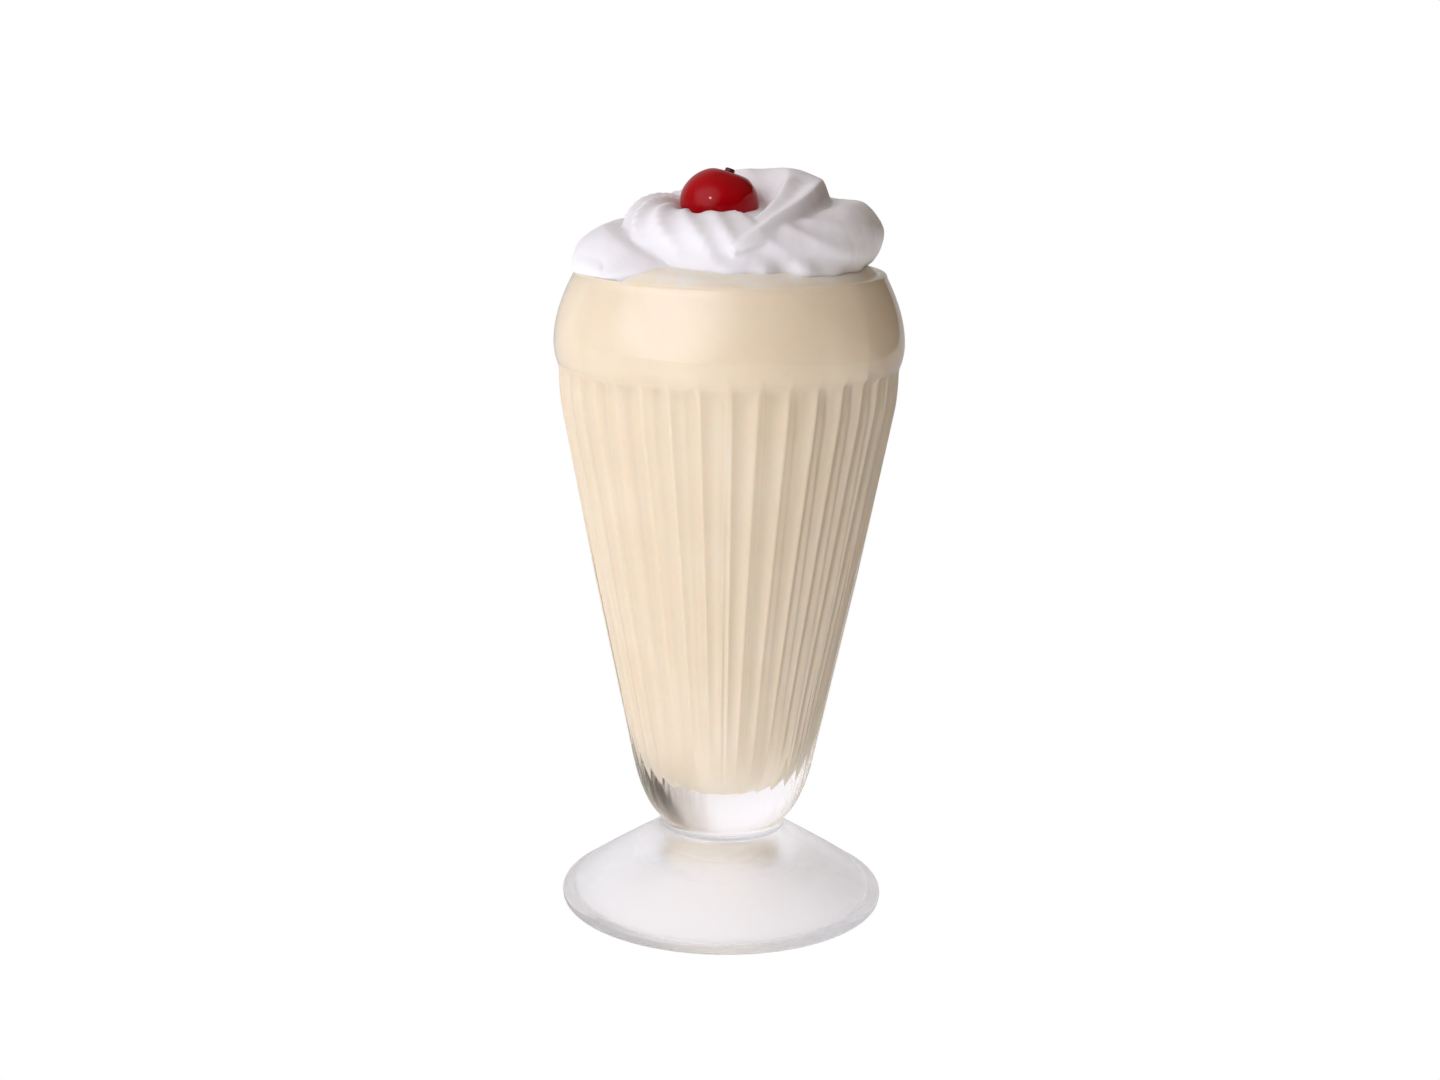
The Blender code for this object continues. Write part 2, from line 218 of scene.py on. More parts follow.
# a ray bent by glass counts as a glossy one too, so the glossy mixes come first
glow = mix_colours(nodes, links, seen.outputs["Is Glossy Ray"], on_drink, GLOW_REFLECTED)
glow = mix_colours(nodes, links, seen.outputs["Is Transmission Ray"], glow, through)
glow = mix_colours(nodes, links, seen.outputs["Is Camera Ray"], glow, GLOW_SEEN)
links.new(glow, shader.inputs["Emission Color"])
lit = mix_colours(nodes, links, seen.outputs["Is Glossy Ray"], SWEEP_COLOUR, UNLIT)
lit = mix_colours(nodes, links, seen.outputs["Is Transmission Ray"], lit, SWEEP_COLOUR)
lit = mix_colours(nodes, links, seen.outputs["Is Camera Ray"], lit, UNLIT)
links.new(lit, shader.inputs["Base Color"])
shader.inputs["Emission Strength"].default_value = 1.0
shader.inputs["Specular IOR Level"].default_value = 0.0
floor.data.materials.append(paper)


# Glass
# A footed soda glass, pressed from clear glass in one piece: a plain rounded band under the rim, shallow
# flutes down the long taper of the bowl, a thick clear bottom, a short waist and a domed foot.
GLASS_HEIGHT = 175.0 * MM
RIM_RADIUS = 41.4 * MM
RIM_WALL = 3.0 * MM
RIM_ROUND = 1.3 * MM
RIM_CREST = (RIM_RADIUS - 0.5 * RIM_WALL, GLASS_HEIGHT)
RIM_LIP = (RIM_RADIUS, GLASS_HEIGHT - RIM_ROUND)
BAND_RADIUS = 46.5 * MM
BAND_MIDDLE = 156.0 * MM
SHOULDER = (44.3 * MM, 138.5 * MM)
TAPER_END = (25.8 * MM, 46.0 * MM)
TAPER_BULGE = 0.4 * MM
TAPER_MIDDLE = (0.5 * (SHOULDER[0] + TAPER_END[0]) + TAPER_BULGE, 0.5 * (SHOULDER[1] + TAPER_END[1]))
WAIST = (16.9 * MM, 22.0 * MM)
FLUTES = 34
STEPS_PER_FLUTE = 12
FLUTE_TOP = 151.0 * MM
FLUTE_TOP_RADIUS = 45.6 * MM
FLUTE_RUN_IN = 2.4 * MM
FLUTE_RUN_OUT = 34.0 * MM
FLUTE_END = 24.0 * MM
FLUTE_DEPTH = 0.032  # of the local radius
WELL_FLUTE_DEPTH = 0.034  # the hollows show on the inner wall too
WELL_FLUTE_END = 36.0 * MM
RIDGE_TO_FRONT = Matrix.Rotation(math.pi / FLUTES, 3, "Z")
FOOT_RADIUS = 44.2 * MM
FOOT_EDGE = 2.3 * MM
FOOT_SHOULDER = (42.4 * MM, 4.6 * MM)
FOOT_RING = 39.0 * MM
KICK_HEIGHT = 14.0 * MM
WALL = 3.9 * MM
WELL_NECK = (RIM_RADIUS - RIM_WALL, GLASS_HEIGHT - RIM_ROUND)
WELL_BELLY = (BAND_RADIUS - WALL, BAND_MIDDLE)
WELL_SHOULDER = (39.6 * MM, 134.0 * MM)
WELL_CORNER = (22.3 * MM, 52.0 * MM)
WELL_BOTTOM = 35.0 * MM
# The outlines are lists of stretches, each of them its places and how many points it gets. A place is
# (radius, height). A curved stretch has two places that it is pulled towards, then its end, and a straight
# one has its end alone.
BOWL_SIDE = (
    ([(RIM_RADIUS - 0.6 * MM, GLASS_HEIGHT), (RIM_RADIUS, GLASS_HEIGHT - 0.4 * MM), RIM_LIP], 6),
    ([(RIM_RADIUS + 3.0 * MM, 168.0 * MM), (BAND_RADIUS, 162.0 * MM), (BAND_RADIUS, BAND_MIDDLE)], 12),
    ([(BAND_RADIUS, 154.6 * MM), (46.1 * MM, 152.2 * MM), (FLUTE_TOP_RADIUS, FLUTE_TOP)], 6),
    ([(45.4 * MM, 150.4 * MM), (45.15 * MM, 149.8 * MM), (45.12 * MM, 148.6 * MM)], 5),
    ([(45.1 * MM, 145.0 * MM), (44.8 * MM, 141.0 * MM), SHOULDER], 5),
    ([TAPER_MIDDLE], 6),
    ([TAPER_END], 6),
    ([(24.0 * MM, 36.5 * MM), (22.6 * MM, 31.5 * MM), (19.6 * MM, 27.2 * MM)], 10),
    ([(18.0 * MM, 25.0 * MM), (WAIST[0], 24.2 * MM), WAIST], 6),
)
FOOT_SIDE = (
    ([(WAIST[0], 20.4 * MM), (24.0 * MM, 17.4 * MM), FOOT_SHOULDER], 12),
    ([(43.4 * MM, 4.1 * MM), (FOOT_RADIUS, 3.3 * MM), (FOOT_RADIUS, FOOT_EDGE)], 5),
    ([(FOOT_RADIUS, 0.9 * MM), (43.4 * MM, 0), (42.4 * MM, 0)], 5),
    ([(FOOT_RING, 0)], 1),
    ([(35.0 * MM, 0.4 * MM), (20.0 * MM, KICK_HEIGHT), (0, KICK_HEIGHT)], 12),
)
INNER_LIP = (
    [(WELL_NECK[0] + 0.6 * MM, GLASS_HEIGHT), (WELL_NECK[0], GLASS_HEIGHT - 0.4 * MM), WELL_NECK], 5
)
WELL_SIDE = (
    ([(WELL_NECK[0] + 2.6 * MM, 168.0 * MM), (WELL_BELLY[0], 162.0 * MM), WELL_BELLY], 10),
    ([(WELL_BELLY[0], 150.0 * MM), (WELL_BELLY[0] - 1.2 * MM, 143.0 * MM), WELL_SHOULDER], 8),
    ([WELL_CORNER], 8),
    ([(20.4 * MM, 42.0 * MM), (14.0 * MM, WELL_BOTTOM), (0, WELL_BOTTOM)], 14),
)
SEAM = 0.001 * MM  # points closer than this are one
GLASS_TINT = (0.985, 0.978, 0.985, 1)
GLASS_SHADOW = (0.96, 0.97, 0.965, 1)  # what its shadow lets through
GLASS_BEND = 1.5  # its index of refraction
GLASS_CLEAR = 0.015  # roughness of the bowl
FOOT_HAZE = 0.45  # and of the hollow under the foot, which is ground dull
FOOT_HOLLOW_SLOPE = 0.36  # the dull part lies under a cone of this slope
FOOT_HOLLOW_TOP = 16.0 * MM  # with its point at this height
FOOT_HOLLOW_FADE = 2.0 * MM
BOTTOM_HAZE = 0.24  # and of the thick bottom of the bowl, where the pressed glass is least even
BOTTOM_SPAN = (30.0 * MM, 44.0 * MM)  # heights over which it turns clear
WAVE_STRETCH = (1, 1, 0.35)  # pressed glass is faintly wavy, and the waves are drawn out along the flutes
WAVE_SCALE = 90
WAVE_DETAIL = 2
WAVE_STRENGTH = 0.06
WAVE_HEIGHT = 0.6 * MM


def curve_points(start, pull_out, pull_in, end, count):
    """count points along a Bezier stretch of an outline of (radius, height), its start left out."""
    knots = [Vector((r, 0, z)) for r, z in (start, pull_out, pull_in, end)]
    return [(p.x, p.z) for p in interpolate_bezier(*knots, count + 1)[1:]]


def straight_points(start, end, count):
    """The same along a straight stretch."""
    return [
        (start[0] + (end[0] - start[0]) * i / count, start[1] + (end[1] - start[1]) * i / count)
        for i in range(1, count + 1)
    ]


def moved_out(place, outset):
    """A place on the side of the bowl moved out, or one on the well's bottom moved down."""
    radius, height = place
    return (radius, height - outset) if height == WELL_BOTTOM else (radius + outset, height)


def drawn_outline(start, stretches, outset=0.0):
    """An outline's points from its start through its stretches, all of it moved out by outset."""
    here = moved_out(start, outset)
    points = [here]
    for places, count in stretches:
        *pulls, end = [moved_out(place, outset) for place in places]
        points += curve_points(here, *pulls, end, count) if pulls else straight_points(here, end, count)
        here = end
    return points


def turn(form, outline, sectors, steps):
    """Spins an outline of (radius, height) through one sector, repeats it round the axis and closes it."""
    before = set(form.verts)
    verts = [form.verts.new((r, 0, z)) for r, z in outline]
    edges = [form.edges.new(pair) for pair in zip(verts, verts[1:])]
    bmesh.ops.spin(form, geom=verts + edges, axis=(0, 0, 1), angle=math.tau / sectors, steps=steps)
    sector = [v for v in form.verts if v not in before]
    faces = {f for v in sector for f in v.link_faces}
    edges = {e for v in sector for e in v.link_edges}
    rest = math.tau * (sectors - 1) / sectors
    bmesh.ops.spin(
        form,
        geom=[*sector, *edges, *faces],
        axis=(0, 0, 1),
        angle=rest,
        steps=sectors - 1,
        use_duplicate=True,
    )
    bmesh.ops.remove_doubles(form, verts=form.verts, dist=SEAM)


def smooth_step(low, high, value):
    """0 at low, 1 at high, and an even S between them. low may be the greater of the two."""
    t = min(max((value - low) / (high - low), 0.0), 1.0)
    return t * t * (3 - 2 * t)


def press_flutes(verts, depth, top, end):
    """Presses the flutes into a wall between two heights: hollows that meet in ridges, arched at the top."""
    for vertex in verts:
        point = vertex.co
        if end < point.z < top:
            share = (math.atan2(point.y, point.x) / math.tau * FLUTES) % 1.0  # one ridge to the next
            hollow = 1 - (2 * share - 1) ** 2
            fade = 1 - (1 - min((top - point.z) / FLUTE_RUN_IN, 1)) ** 2
            fade *= smooth_step(end, end + FLUTE_RUN_OUT, point.z)
            shrink = 1 - depth * hollow * fade
            point.x *= shrink
            point.y *= shrink


glass_form = bmesh.new()
turn(glass_form, drawn_outline(RIM_CREST, BOWL_SIDE), FLUTES, STEPS_PER_FLUTE)
press_flutes(glass_form.verts, FLUTE_DEPTH, FLUTE_TOP, FLUTE_END)
outside = set(glass_form.verts)
turn(glass_form, drawn_outline(WAIST, FOOT_SIDE), FLUTES, STEPS_PER_FLUTE)
inner_side = drawn_outline(RIM_CREST, [INNER_LIP])[:-1] + drawn_outline(WELL_NECK, WELL_SIDE)
turn(glass_form, inner_side, FLUTES, STEPS_PER_FLUTE)
inside = [v for v in glass_form.verts if v not in outside]
press_flutes(inside, WELL_FLUTE_DEPTH, FLUTE_TOP, WELL_FLUTE_END)
bmesh.ops.rotate(glass_form, cent=(0, 0, 0), matrix=RIDGE_TO_FRONT, verts=glass_form.verts)
bmesh.ops.recalc_face_normals(glass_form, faces=glass_form.faces)
glass = new_piece("soda_glass", glass_form)

clear_glass, nodes, links, shader = new_finish("clear_glass", GLASS_TINT, GLASS_CLEAR)
shader.inputs["Transmission Weight"].default_value = 1.0
shader.inputs["IOR"].default_value = GLASS_BEND
place = nodes.new("ShaderNodeTexCoord")
drawn = nodes.new("ShaderNodeMapping")
drawn.inputs["Scale"].default_value = WAVE_STRETCH
waves = nodes.new("ShaderNodeTexNoise")
waves.inputs["Scale"].default_value = WAVE_SCALE
waves.inputs["Detail"].default_value = WAVE_DETAIL
dent = nodes.new("ShaderNodeBump")
dent.inputs["Strength"].default_value = WAVE_STRENGTH
dent.inputs["Distance"].default_value = WAVE_HEIGHT
height = nodes.new("ShaderNodeSeparateXYZ")
level = nodes.new("ShaderNodeVectorMath")
level.operation = "MULTIPLY"
level.inputs[1].default_value = (FOOT_HOLLOW_SLOPE, FOOT_HOLLOW_SLOPE, 0)
from_axis = nodes.new("ShaderNodeVectorMath")
from_axis.operation = "LENGTH"
above_hollow = nodes.new("ShaderNodeMath")
haze = nodes.new("ShaderNodeMapRange")
haze.inputs["From Min"].default_value = FOOT_HOLLOW_TOP
haze.inputs["From Max"].default_value = FOOT_HOLLOW_TOP + FOOT_HOLLOW_FADE
haze.inputs["To Min"].default_value = FOOT_HAZE
haze.inputs["To Max"].default_value = GLASS_CLEAR
bottom = nodes.new("ShaderNodeMapRange")
bottom.inputs["From Min"].default_value, bottom.inputs["From Max"].default_value = BOTTOM_SPAN
bottom.inputs["To Min"].default_value = BOTTOM_HAZE
bottom.inputs["To Max"].default_value = GLASS_CLEAR
for source, target in (
    (place.outputs["Object"], height.inputs["Vector"]),
    (place.outputs["Object"], level.inputs[0]),
    (level.outputs["Vector"], from_axis.inputs[0]),
    (height.outputs["Z"], above_hollow.inputs[0]),
    (from_axis.outputs["Value"], above_hollow.inputs[1]),
    (above_hollow.outputs["Value"], haze.inputs["Value"]),
    (height.outputs["Z"], bottom.inputs["Value"]),
    (place.outputs["Object"], drawn.inputs["Vector"]),
    (drawn.outputs["Vector"], waves.inputs["Vector"]),
    (waves.outputs["Fac"], dent.inputs["Height"]),
    (dent.outputs["Normal"], shader.inputs["Normal"]),
):
    links.new(source, target)
duller = brighter_of(nodes, links, haze.outputs["Result"], bottom.outputs["Result"])
links.new(duller, shader.inputs["Roughness"])
let_through = nodes.new("ShaderNodeBsdfTransparent")  # lamps reach what the glass holds
let_through.inputs["Color"].default_value = GLASS_SHADOW
ray = nodes.new("ShaderNodeLightPath")
either = nodes.new("ShaderNodeMixShader")
links.new(ray.outputs["Is Shadow Ray"], either.inputs["Fac"])
links.new(shader.outputs["BSDF"], either.inputs[1])
links.new(let_through.outputs["BSDF"], either.inputs[2])
links.new(either.outputs["Shader"], nodes["Material Output"].inputs["Surface"])
glass.data.materials.append(clear_glass)
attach(glass, "root")
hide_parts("glass")


# Milkshake
# Thick, opaque vanilla shake poured to the rim and standing in a low mound above it. It reaches just into
# the wall of the glass, so that it wets the glass all over, and faint streaks show where it was stirred.
SHAKE_REACH = 0.15 * MM
SHAKE_EDGE = 174.3 * MM
SHAKE_CROWN = 180.4 * MM
SHAKE_RIPPLE = 0.5 * MM
SHAKE_RIPPLE_SCALE = 130
SHAKE_RIPPLE_START = 0.2 * MM  # above its edge
SHAKE_RIPPLE_RUN_IN = 4.0 * MM  # in from the glass's wall
MOUND_PULLS = (20.0 * MM, 35.0 * MM)  # radii that its top is pulled towards on its way out
MOUND_STEPS = 22
SHAKE_PALE = (0.90, 0.80, 0.63, 1)
SHAKE_DEEP = (0.85, 0.72, 0.53, 1)
SHAKE_CREAMY = (0.96, 0.93, 0.88, 1)  # its top, where the cream has begun to melt into it
SHAKE_CREAMY_SPAN = (SHAKE_EDGE - 1.0 * MM, SHAKE_EDGE + 2.0 * MM)
SHAKE_ROUGHNESS = 0.35
SHAKE_STREAKS = ((1, 1, 0.6), 55, 1.5)  # stretch, scale and contrast
MELTING_STREAKS = ((1, 1, 1), 70, 2.5)
SHAKE_SOFTNESS = (0.6, (1.0, 0.6, 0.3), 1.2 * MM)  # share, reach of red, green and blue, and depth
STREAK_DETAIL = 4
STREAK_ROUGHNESS = 0.55
STREAK_DISTORTION = 0.8
STREAK_SCALE = 60.0  # where a material doesn't say otherwise
STREAK_MIDDLE = 0.5  # the noise spreads about this value


def streak_group():
    """Soft streaks and cloudy patches: Vector, Scale and Contrast in, a mask out."""
    group = bpy.data.node_groups.new("cloudy_streaks", "ShaderNodeTree")
    group.interface.new_socket(name="Vector", in_out="INPUT", socket_type="NodeSocketVector")
    for name, start in (("Scale", STREAK_SCALE), ("Contrast", 1.0)):
        socket = group.interface.new_socket(name=name, in_out="INPUT", socket_type="NodeSocketFloat")
        socket.default_value = start
    group.interface.new_socket(name="Mask", in_out="OUTPUT", socket_type="NodeSocketFloat")
    nodes, links = group.nodes, group.links
    given, out = nodes.new("NodeGroupInput"), nodes.new("NodeGroupOutput")
    cloud = nodes.new("ShaderNodeTexNoise")
    cloud.inputs["Detail"].default_value = STREAK_DETAIL
    cloud.inputs["Roughness"].default_value = STREAK_ROUGHNESS
    cloud.inputs["Distortion"].default_value = STREAK_DISTORTION
    centred = nodes.new("ShaderNodeMath")
    centred.operation = "SUBTRACT"
    centred.inputs[1].default_value = STREAK_MIDDLE
    spread = nodes.new("ShaderNodeMath")
    spread.operation = "MULTIPLY"
    lifted = nodes.new("ShaderNodeMath")
    lifted.operation = "ADD"
    lifted.use_clamp = True
    lifted.inputs[1].default_value = STREAK_MIDDLE
    links.new(given.outputs["Vector"], cloud.inputs["Vector"])
    links.new(given.outputs["Scale"], cloud.inputs["Scale"])
    links.new(cloud.outputs["Fac"], centred.inputs[0])
    links.new(centred.outputs["Value"], spread.inputs[0])
    links.new(given.outputs["Contrast"], spread.inputs[1])
    links.new(spread.outputs["Value"], lifted.inputs[0])
    links.new(lifted.outputs["Value"], out.inputs["Mask"])
    return group


def add_streaks(nodes, links, stretch, scale, contrast):
    """Puts the streaks in a material on Object coordinates and returns their mask."""
    place = nodes.new("ShaderNodeTexCoord")
    drawn = nodes.new("ShaderNodeMapping")
    drawn.inputs["Scale"].default_value = stretch
    streaks = nodes.new("ShaderNodeGroup")
    streaks.node_tree = cloudy_streaks
    streaks.inputs["Scale"].default_value = scale
    streaks.inputs["Contrast"].default_value = contrast
    links.new(place.outputs["Object"], drawn.inputs["Vector"])
    links.new(drawn.outputs["Vector"], streaks.inputs["Vector"])
    return streaks.outputs["Mask"]


def soften(shader, share, reach, depth):
    """Lets light into a surface, as into anything milky or moist."""
    shader.inputs["Subsurface Weight"].default_value = share
    shader.inputs["Subsurface Radius"].default_value = reach
    shader.inputs["Subsurface Scale"].default_value = depth


cloudy_streaks = streak_group()


def mound_points(lift=0.0):
    """The top of the milkshake from its crown out to the wall."""
    crown = (0, SHAKE_CROWN + lift)
    wall = (RIM_RADIUS - RIM_WALL + SHAKE_REACH, SHAKE_EDGE + lift)
    near, far = ((radius, crown[1]) for radius in MOUND_PULLS)
    return [crown] + curve_points(crown, near, far, wall, MOUND_STEPS)


shake_form = bmesh.new()
shake_outline = mound_points() + drawn_outline(WELL_NECK, WELL_SIDE, SHAKE_REACH)
turn(shake_form, shake_outline, FLUTES, STEPS_PER_FLUTE)
press_flutes(shake_form.verts, WELL_FLUTE_DEPTH, FLUTE_TOP, WELL_FLUTE_END)
for vertex in shake_form.verts:
    point = vertex.co
    radius = math.hypot(point.x, point.y)
    if point.z > SHAKE_EDGE + SHAKE_RIPPLE_START:
        free = smooth_step(WELL_NECK[0], WELL_NECK[0] - SHAKE_RIPPLE_RUN_IN, radius)
        point.z += free * SHAKE_RIPPLE * noise.noise(point * SHAKE_RIPPLE_SCALE)
bmesh.ops.rotate(shake_form, cent=(0, 0, 0), matrix=RIDGE_TO_FRONT, verts=shake_form.verts)
bmesh.ops.recalc_face_normals(shake_form, faces=shake_form.faces)
shake = new_piece("milkshake_fill", shake_form)

vanilla, nodes, links, shader = new_finish("vanilla_shake", SHAKE_PALE, SHAKE_ROUGHNESS)
mask = add_streaks(nodes, links, *SHAKE_STREAKS)
stirred = mix_colours(nodes, links, mask, SHAKE_DEEP, SHAKE_PALE)
mask = add_streaks(nodes, links, *MELTING_STREAKS)
melting = mix_colours(nodes, links, mask, SHAKE_PALE, SHAKE_CREAMY)
place = nodes.new("ShaderNodeTexCoord")
height = nodes.new("ShaderNodeSeparateXYZ")
on_top = nodes.new("ShaderNodeMapRange")
on_top.inputs["From Min"].default_value, on_top.inputs["From Max"].default_value = SHAKE_CREAMY_SPAN
links.new(place.outputs["Object"], height.inputs["Vector"])
links.new(height.outputs["Z"], on_top.inputs["Value"])
topped = mix_colours(nodes, links, on_top.outputs["Result"], stirred, melting)
links.new(topped, shader.inputs["Base Color"])
soften(shader, *SHAKE_SOFTNESS)
shake.data.materials.append(vanilla)
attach(shake, "root")
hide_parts("milkshake")


# Whipped cream
# One thick rope piped from a star nozzle, outside in and upwards, clockwise from above. It thins to a tail
# that is laid down over the front. Its folds are soft, and it has slumped a little onto the shake.
STAR_POINTS = 6
STEPS_BETWEEN_STATIONS = 10
ROPE_SIDES = 72
ROPE_WAVER = 0.02  # of its thickness, once slowly and once quickly along its run
SLOW_WAVER = 3.1
QUICK_WAVER = 7.3
QUICK_WAVER_START = 1.0
CORE_RADIUS = 21.0 * MM  # of the cream in the middle, which the turns lie round
CORE_MIDDLE = 178.0 * MM
CORE_HALF_HEIGHT = 15.0 * MM
CREAM_VOXEL = 0.45 * MM  # grain at which the turns and the core are made one skin
CREAM_SMOOTHINGS = 3
CREAM_SMOOTHING = 0.5
CREAM_LUMP = 0.45 * MM  # soft lumps, in or out of its surface
CREAM_LUMP_SCALE = 75
CREAM_PIT = 0.12 * MM  # and small pits
CREAM_PIT_SCALE = 300
CREAM_SINK = 0.4 * MM  # how far its underside sinks into the shake
RIM_CLEARANCE = 0.2 * MM  # and how far it stays above the rim of the glass
BED_STEP = 0.25 * MM  # steps of the radius at which the height of what it lies on is known
BED_REACH = 50.0 * MM
MELT_HEIGHT = 5.0 * MM  # its lower edge has begun to melt, and spreads unevenly over the shake
MELT_SPREAD = 2.6 * MM
MELT_SHARE = 0.35  # of that spread is even all round
MELT_SCALE = 4.5
CREAM_WHITE = (0.895, 0.885, 0.905, 1)
CREAM_SHADE = (0.83, 0.815, 0.835, 1)
CREAM_ROUGHNESS = 0.45
CREAM_CLOUDS = ((1, 1, 1), 90, 1.2)  # stretch, scale and contrast
CREAM_SOFTNESS = (0.15, (1.0, 0.95, 0.9), 2.0 * MM)
# Each station: angle from +X, distance from the axis, height, radius, turn about its run, depth of folds
ROPE_STATIONS = (
    (245, 28.0 * MM, 175.6 * MM, 2.6 * MM, 0, 0.05),
    (225, 29.4 * MM, 175.8 * MM, 6.8 * MM, 0, 0.05),
    (203, 30.2 * MM, 175.9 * MM, 10.4 * MM, 10, 0.05),
    (180, 30.6 * MM, 175.9 * MM, 11.4 * MM, 25, 0.06),
    (140, 28.8 * MM, 177.4 * MM, 10.4 * MM, 65, 0.08),
    (90, 29.6 * MM, 181.0 * MM, 10.2 * MM, 110, 0.10),
    (20, 30.8 * MM, 184.4 * MM, 9.2 * MM, 170, 0.05),
    (-18, 30.4 * MM, 184.2 * MM, 9.4 * MM, 210, 0.04),
    (-52, 25.6 * MM, 181.0 * MM, 9.4 * MM, 290, 0.05),
    (-90, 20.8 * MM, 181.2 * MM, 10.8 * MM, 400, 0.07),
    (-135, 20.4 * MM, 182.4 * MM, 10.8 * MM, 530, 0.12),
    (-180, 19.0 * MM, 184.4 * MM, 10.2 * MM, 640, 0.17),
    (-225, 18.2 * MM, 185.4 * MM, 9.6 * MM, 740, 0.15),
    (-270, 17.8 * MM, 189.8 * MM, 9.8 * MM, 850, 0.07),
    (-315, 17.8 * MM, 191.3 * MM, 9.8 * MM, 925, 0.05),
    (-350, 18.2 * MM, 191.2 * MM, 9.7 * MM, 950, 0.10),
    (-380, 18.9 * MM, 191.2 * MM, 8.9 * MM, 955, 0.26),
    (-420, 23.5 * MM, 187.8 * MM, 6.2 * MM, 955, 0.28),
    (-440, 29.0 * MM, 185.2 * MM, 3.4 * MM, 955, 0.20),
    (-450, 31.5 * MM, 183.4 * MM, 1.6 * MM, 955, 0.10),
)


def through_stations(stations, steps):
    """Smooth Catmull-Rom samples through the stations, which are rows of numbers."""
    rows = [stations[0], *stations, stations[-1]]
    samples = []
    for before, first, second, after in zip(rows, rows[1:], rows[2:], rows[3:]):
        for step in range(steps):
            t = step / steps
            row = []
            for a, b, c, d in zip(before, first, second, after):
                squared = (2 * a - 5 * b + 4 * c - d) * t**2
                cubed = (3 * b - a - 3 * c + d) * t**3
                row.append(0.5 * (2 * b + (c - a) * t + squared + cubed))
            samples.append(row)
    samples.append(list(stations[-1]))
    return samples


def rope_section(sample, along):
    """The ring of points of the rope's star-shaped section at one sample of its run."""
    degrees, distance, height, thickness, turned, folds = sample
    angle = math.radians(degrees)
    outward = Vector((math.cos(angle), math.sin(angle), 0))
    middle = outward * distance + Vector((0, 0, height))
    up = outward.cross(along).normalized()
    out = along.cross(up).normalized()
    uneven = 1 + ROPE_WAVER * math.sin(SLOW_WAVER * angle)
    uneven += ROPE_WAVER * math.sin(QUICK_WAVER * angle + QUICK_WAVER_START)
    ring = []
    for i in range(ROPE_SIDES):
        around = math.tau * i / ROPE_SIDES
        fold = abs(math.sin(0.5 * STAR_POINTS * (around - math.radians(turned))))
        size = thickness * uneven * (1 - folds * fold)
        ring.append(middle + out * (size * math.cos(around)) + up * (size * math.sin(around)))
    return ring


cream_form = bmesh.new()
samples = through_stations(ROPE_STATIONS, STEPS_BETWEEN_STATIONS)
middles = [
    Vector((s[1] * math.cos(math.radians(s[0])), s[1] * math.sin(math.radians(s[0])), s[2])) for s in samples
]
ring_edges = None
for number, sample in enumerate(samples):
    along = middles[max(number - 1, 0)] - middles[min(number + 1, len(samples) - 1)]
    ring = rope_section(sample, along)
    if ring_edges is None:
        circle = bmesh.ops.create_circle(cream_form, cap_ends=True, segments=ROPE_SIDES, radius=1)["verts"]
        for vertex, place in zip(circle, ring):
            vertex.co = place
        ring_edges = list(cream_form.edges)
        order = circle
    else:
        grown = bmesh.ops.extrude_edge_only(cream_form, edges=ring_edges)["geom"]
        fresh = {item for item in grown if isinstance(item, bmesh.types.BMVert)}
        edges = [item for item in grown if isinstance(item, bmesh.types.BMEdge)]
        ring_edges = [edge for edge in edges if fresh.issuperset(edge.verts)]
        order = [next(e.other_vert(v) for e in v.link_edges if e.other_vert(v) in fresh) for v in order]
        for vertex, place in zip(order, ring):
            vertex.co = place
bmesh.ops.contextual_create(cream_form, geom=order)
core = bmesh.ops.create_uvsphere(cream_form, u_segments=48, v_segments=24, radius=1)["verts"]
bmesh.ops.scale(cream_form, vec=(CORE_RADIUS, CORE_RADIUS, CORE_HALF_HEIGHT), verts=core)
bmesh.ops.translate(cream_form, vec=(0, 0, CORE_MIDDLE), verts=core)
bmesh.ops.recalc_face_normals(cream_form, faces=cream_form.faces)
cream = new_piece("cream_swirl", cream_form)
skin = cream.modifiers.new("one_skin", "REMESH")
skin.mode = "VOXEL"
skin.voxel_size = CREAM_VOXEL
skin.use_smooth_shade = True
cream_mesh = bpy.data.meshes.new_from_object(cream.evaluated_get(bpy.context.evaluated_depsgraph_get()))
cream.modifiers.clear()
cream_form = bmesh.new()
cream_form.from_mesh(cream_mesh)
for _ in range(CREAM_SMOOTHINGS):
    bmesh.ops.smooth_vert(
        cream_form,
        verts=cream_form.verts,
        factor=CREAM_SMOOTHING,
        use_axis_x=True,
        use_axis_y=True,
        use_axis_z=True,
    )
mound = mound_points(-CREAM_SINK)
bed_heights = []
for number in range(round(BED_REACH / BED_STEP)):
    radius = number * BED_STEP
    spans = [pair for pair in zip(mound, mound[1:]) if pair[0][0] <= radius <= pair[1][0]]
    if spans:
        (r0, z0), (r1, z1) = spans[0]
        bed_heights.append(z0 + (z1 - z0) * (radius - r0) / (r1 - r0))
    else:
        bed_heights.append(GLASS_HEIGHT + RIM_CLEARANCE)


def bed_at(point):
    """The height of the shake or the rim that the cream lies on, at a point's distance from the axis."""
    return bed_heights[int(math.hypot(point.x, point.y) / BED_STEP)]


for vertex in cream_form.verts:
    point = vertex.co
    lump = CREAM_LUMP * noise.noise(point * CREAM_LUMP_SCALE)
    pit = CREAM_PIT * noise.noise(point * CREAM_PIT_SCALE)
    point += vertex.normal * (lump + pit)
    bed = bed_at(point)
    melted = smooth_step(bed + MELT_HEIGHT, bed, point.z)
    outwards = Vector((point.x, point.y, 0)).normalized()
    point += outwards * (MELT_SPREAD * melted * (MELT_SHARE + noise.noise(outwards * MELT_SCALE)))
    point.z = max(point.z, bed_at(point))
cream_form.to_mesh(cream.data)
cream_form.free()
cream.data.shade_smooth()

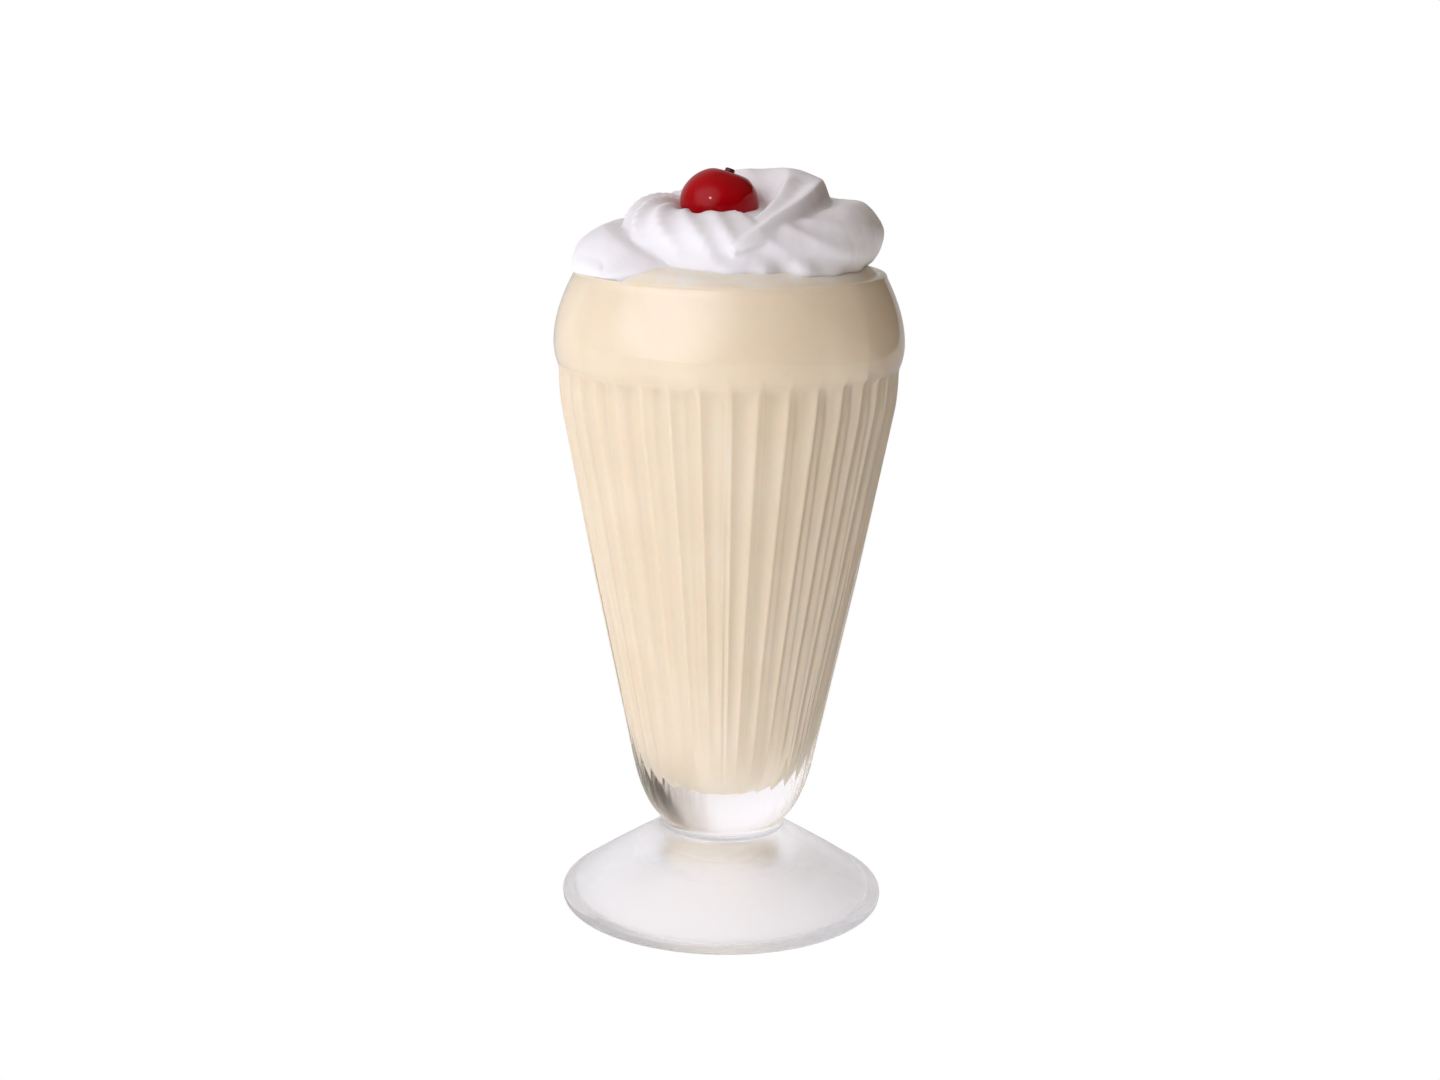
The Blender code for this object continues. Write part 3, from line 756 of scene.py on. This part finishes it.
whipped, nodes, links, shader = new_finish("whipped_cream", CREAM_WHITE, CREAM_ROUGHNESS)
mask = add_streaks(nodes, links, *CREAM_CLOUDS)
links.new(mix_colours(nodes, links, mask, CREAM_SHADE, CREAM_WHITE), shader.inputs["Base Color"])
soften(shader, *CREAM_SOFTNESS)
cream.data.materials.append(whipped)
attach(cream, "root")
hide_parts("whipped_cream")


# Cherry
# A cocktail cherry in syrup, glossy and deep red, set in the middle of the swirl and leaning to one side.
# Its skin is faintly creased, and the dimple on top holds the dark stub of its stalk.
CHERRY_CENTRE = Vector((-3.2, -2.2, 192.6)) * MM
CHERRY_RADII = Vector((10.4, 10.1, 9.3)) * MM
CHERRY_LEAN = Euler((0, math.radians(3), 0))
STALK_LEAN = Euler((math.radians(-7), math.radians(15), 0))  # where the dimple and the stalk sit
DIMPLE_DEPTH = 0.16  # of the cherry's height
DIMPLE_WIDTH = 0.3  # radians from its middle
CHERRY_CREASE = 0.02  # of its radius, by which one side of its waist is fuller
CHERRY_CREASE_START = 2.6
CHERRY_UNEVEN = 0.012  # of its radius, by which its skin waves
CHERRY_UNEVEN_SCALE = 2.5
STUB_RADIUS = 1.45 * MM
STUB_LENGTH = 2.6 * MM
STUB_TAPER = 0.85
STUB_RISE = 0.15  # of its length that its middle stands above the bottom of the dimple
STUB_ROUND = 0.25 * MM
STUB_RIM = math.radians(50)  # its rims are the edges that turn by more
CHERRY_RED = (0.36, 0.001, 0.005, 1)
CHERRY_DARK = (0.28, 0.001, 0.003, 1)
CHERRY_ROUGHNESS = 0.1
CHERRY_SHINE = 0.15
CHERRY_MOTTLE = ((1, 1, 1), 140, 1.6)  # stretch, scale and contrast
CHERRY_SOFTNESS = (0.15, (1.0, 0.1, 0.1), 2.0 * MM)
STUB_COLOUR = (0.10, 0.006, 0.008, 1)
STUB_ROUGHNESS = 0.5

cherry_form = bmesh.new()
bmesh.ops.create_uvsphere(cherry_form, u_segments=72, v_segments=48, radius=1)
cherry_place = Matrix.Translation(CHERRY_CENTRE) @ CHERRY_LEAN.to_matrix().to_4x4()
stalk_direction = STALK_LEAN.to_matrix() @ Vector((0, 0, 1))
for vertex in cherry_form.verts:
    direction = vertex.co.normalized()
    around = math.atan2(direction.y, direction.x)
    from_pole = math.acos(min(max(direction.z, -1.0), 1.0))
    dimple = DIMPLE_DEPTH * math.exp(-((direction.angle(stalk_direction) / DIMPLE_WIDTH) ** 2))
    crease = CHERRY_CREASE * math.sin(around + CHERRY_CREASE_START) * math.sin(from_pole)
    size = 1 - dimple + crease + CHERRY_UNEVEN * noise.noise(direction * CHERRY_UNEVEN_SCALE)
    vertex.co = cherry_place @ Vector([d * r * size for d, r in zip(direction, CHERRY_RADII)])
bmesh.ops.recalc_face_normals(cherry_form, faces=cherry_form.faces)
cherry = new_piece("cherry_fruit", cherry_form)
red, nodes, links, shader = new_finish("cherry_skin", CHERRY_RED, CHERRY_ROUGHNESS)
mask = add_streaks(nodes, links, *CHERRY_MOTTLE)
links.new(mix_colours(nodes, links, mask, CHERRY_DARK, CHERRY_RED), shader.inputs["Base Color"])
shader.inputs["Specular IOR Level"].default_value = CHERRY_SHINE
soften(shader, *CHERRY_SOFTNESS)
cherry.data.materials.append(red)

stub_form = bmesh.new()
bmesh.ops.create_cone(
    stub_form,
    cap_ends=True,
    segments=20,
    radius1=STUB_RADIUS,
    radius2=STUB_TAPER * STUB_RADIUS,
    depth=STUB_LENGTH,
)
stub_middle = Vector((0, 0, CHERRY_RADII.z * (1 - DIMPLE_DEPTH) + STUB_RISE * STUB_LENGTH))
stub_place = cherry_place @ STALK_LEAN.to_matrix().to_4x4() @ Matrix.Translation(stub_middle)
bmesh.ops.transform(stub_form, matrix=stub_place, verts=stub_form.verts)
rims = [edge for edge in stub_form.edges if edge.calc_face_angle(0) > STUB_RIM]
bmesh.ops.bevel(
    stub_form, geom=rims, offset=STUB_ROUND, affect="EDGES", segments=3, profile=0.5, material=-1
)
stub = new_piece("cherry_stalk_stub", stub_form)
stalk, nodes, links, shader = new_finish("cherry_stalk", STUB_COLOUR, STUB_ROUGHNESS)
stub.data.materials.append(stalk)
for piece in (cherry, stub):
    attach(piece, "root")
    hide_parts("cherry")
glint_on = bpy.data.collections.new("glint_on")
glint_on.objects.link(cherry)
spark.light_linking.receiver_collection = glint_on
